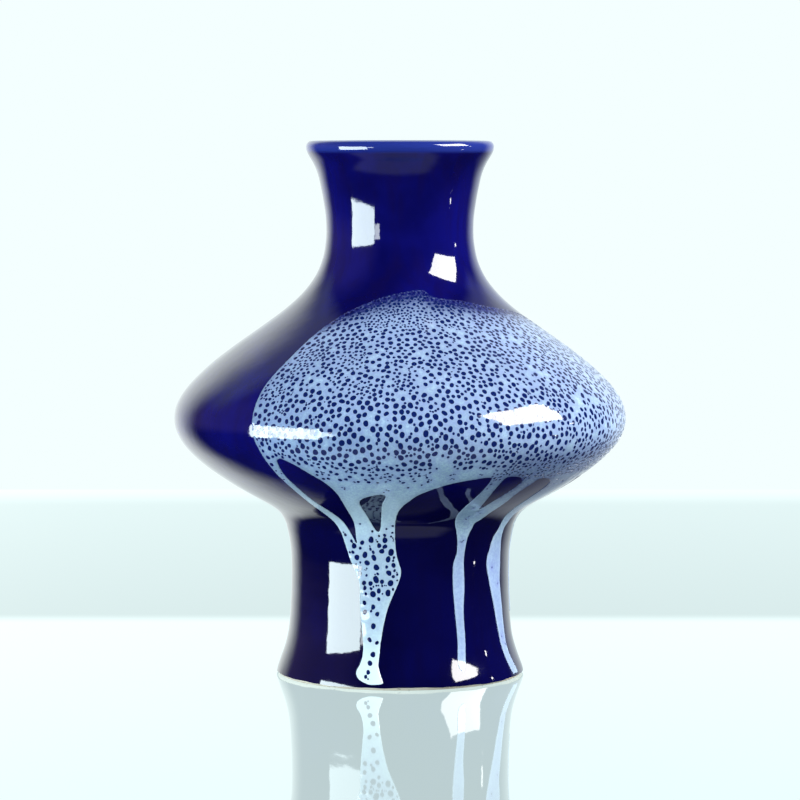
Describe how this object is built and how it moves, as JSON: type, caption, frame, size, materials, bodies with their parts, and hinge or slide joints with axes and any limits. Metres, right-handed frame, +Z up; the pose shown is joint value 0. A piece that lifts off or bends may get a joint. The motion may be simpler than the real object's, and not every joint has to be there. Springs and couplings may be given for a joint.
{
  "type": "pedestal vase",
  "caption": "Stoneware pedestal vase with a wide lens-shaped belly, waisted neck and flared rim, glazed dark blue with a speckled white pour that runs down to the foot.",
  "frame": {"origin": "centre of the foot ring's flat base, on the vase's axis", "axes": "+Z up along the vase's axis of revolution, -Y towards the front, where the white glaze runs to the foot"},
  "size_m": [0.17, 0.17, 0.2],
  "materials": {
    "bare_stoneware": "matte",
    "cobalt_glaze": "gloss",
    "liner_glaze": "gloss",
    "white_glaze": "gloss"
  },
  "bodies": {
    "root": {"clay_pedestal": "bare_stoneware", "clay_lower_bowl": "bare_stoneware", "clay_shoulder": "bare_stoneware", "clay_neck": "bare_stoneware", "liner_glaze": "liner_glaze", "blue_glaze": "cobalt_glaze", "white_glaze": "white_glaze"}
  },
  "joints": []
}
